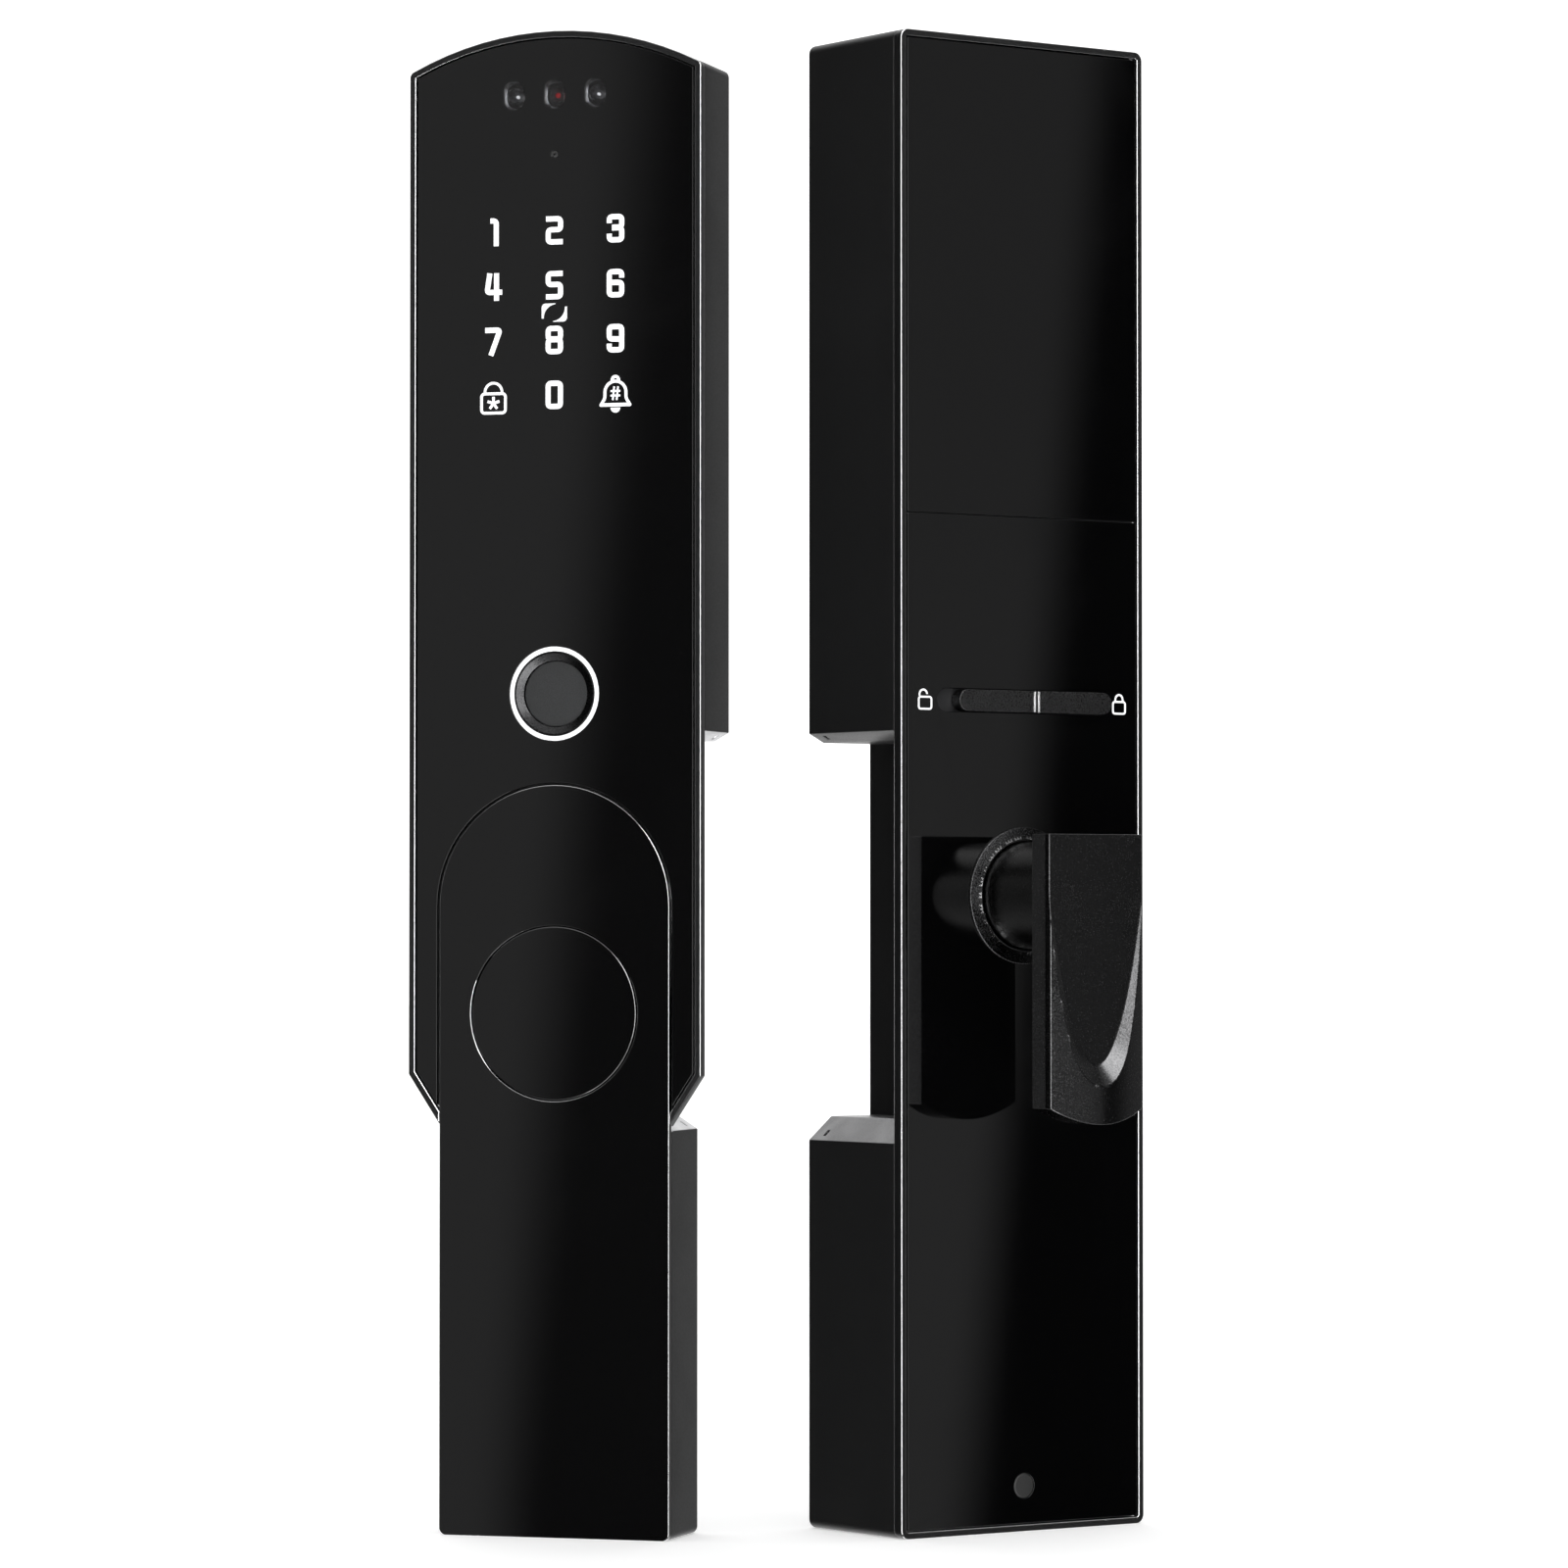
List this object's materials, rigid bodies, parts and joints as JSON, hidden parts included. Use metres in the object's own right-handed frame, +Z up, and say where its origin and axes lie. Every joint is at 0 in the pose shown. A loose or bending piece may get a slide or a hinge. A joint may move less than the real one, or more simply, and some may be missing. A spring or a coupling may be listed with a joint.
{
  "type": "keypad smart lock",
  "caption": "Smart door lock in two tall slim units: outdoor unit with arched top, keypad and fingerprint reader; indoor unit with battery box, privacy slide and thumb turn.",
  "frame": {"origin": "on the outdoor unit's door face (the gasket), on its vertical centreline, at the height of the thumb turn's axis, which both units share once they are on a door", "axes": "+Z up, +Y from the outdoor unit into the door, +X to the right as seen from outside"},
  "size_m": [0.1895, 0.1128, 0.4],
  "materials": {
    "bezel_metal": "dark anodised, satin, fine edge",
    "black_glass": "tempered glass printed black on the back, polished",
    "black_panel": "piano black, polished",
    "white_print": "backlit white legend",
    "window_lens": "smoked clear window",
    "lamp_lens": "clear lamp dome",
    "camera_red": "dark lens with a red glint",
    "grey_plastic": "fine matte",
    "light_guide": "milky diffuser",
    "light_ring": "lit white ring",
    "dark_bevel": "satin black bevel",
    "sensor_face": "matte grey touch face",
    "housing_metal": "fine grained dark powder coat",
    "circuit_board": "green solder mask",
    "black_plastic": "moulded, fine texture",
    "steel": "zinc plated",
    "spring_steel": "bright spring steel",
    "gasket_rubber": "soft black rubber",
    "plug_rubber": "dark grey, matte",
    "brass": "machined",
    "knob_metal": "fine metallic grain, satin",
    "neck_metal": "fine black grain, satin",
    "slide_metal": "fine brushed dark grey",
    "cam_plastic": "natural acetal",
    "cell_wrap": "plain two-tone cell sleeve"
  },
  "bodies": {
    "outdoor_unit": {"outdoor_frame": "bezel_metal", "outdoor_glass": "black_glass", "keypad_digits": "white_print", "keypad_icons": "white_print", "card_mark": "white_print", "sensor_windows": "window_lens", "infrared_lamps": "lamp_lens", "camera_lens": "camera_red", "microphone_port": "grey_plastic", "light_guide": "light_guide", "keypad_board": "circuit_board", "fingerprint_ring": "light_ring", "fingerprint_bezel": "dark_bevel", "fingerprint_sensor": "sensor_face", "fingerprint_module": "black_plastic", "tongue_panel": "black_panel", "outdoor_housing": "housing_metal", "outdoor_board": "circuit_board", "speaker": "black_plastic", "power_port": "steel", "outdoor_plate": "steel", "outdoor_plate_screws": "steel", "outdoor_gasket": "gasket_rubber", "key_cylinder": "brass", "key_cover_magnets": "steel"},
    "key_plug": {"key_plug": "brass", "key_tailpiece": "steel"},
    "key_cover": {"key_cover": "black_panel"},
    "indoor_unit": {"indoor_frame": "bezel_metal", "indoor_glass": "black_glass", "slot_liner": "black_plastic", "slide_icons": "white_print", "rose_ring": "knob_metal", "screw_plug": "plug_rubber", "fixing_screw": "steel", "indoor_housing": "housing_metal", "indoor_board": "circuit_board", "board_screws": "steel", "knob_switch": "black_plastic", "spindle_bush": "brass", "battery_holder": "black_plastic", "battery_contacts": "spring_steel", "battery_cells": "cell_wrap", "indoor_plate": "steel", "indoor_gasket": "gasket_rubber"},
    "battery_cover": {"cover_glass": "black_glass", "cover_tray": "black_plastic"},
    "privacy_slide": {"slide_bar": "slide_metal", "slide_carrier": "black_plastic"},
    "thumb_turn": {"knob_neck": "neck_metal", "knob_grip": "knob_metal", "knob_stud": "steel", "knob_spindle": "steel", "spindle_circlip": "spring_steel", "knob_cam": "cam_plastic"}
  },
  "joints": [
    {"name": "indoor_unit_to_door", "type": "hinge", "parent": "outdoor_unit", "child": "indoor_unit", "pos_m": [0.0431, 0.03014, 0], "axis": [0, 0, 1], "range_deg": [0, 127.1]},
    {"name": "key_cover_lift", "type": "slide", "parent": "outdoor_unit", "child": "key_cover", "axis": [0, -1, 0], "range_m": [0, 0.015]},
    {"name": "key_turn", "type": "hinge", "parent": "outdoor_unit", "child": "key_plug", "pos_m": [0, -0.012, -0.0313], "axis": [0, 1, 0], "range_deg": [0, 90]},
    {"name": "battery_cover_lift", "type": "slide", "parent": "indoor_unit", "child": "battery_cover", "axis": [0.7976, -0.6032, 0], "range_m": [0, 0.03]},
    {"name": "privacy_slide", "type": "slide", "parent": "indoor_unit", "child": "privacy_slide", "axis": [0.6032, 0.7976, 0], "range_m": [-0.006, 0]},
    {"name": "thumb_turn", "type": "hinge", "parent": "indoor_unit", "child": "thumb_turn", "pos_m": [0.1142, 0.0304, 0], "axis": [0.7976, -0.6032, 0], "range_deg": [-90, 90]}
  ]
}
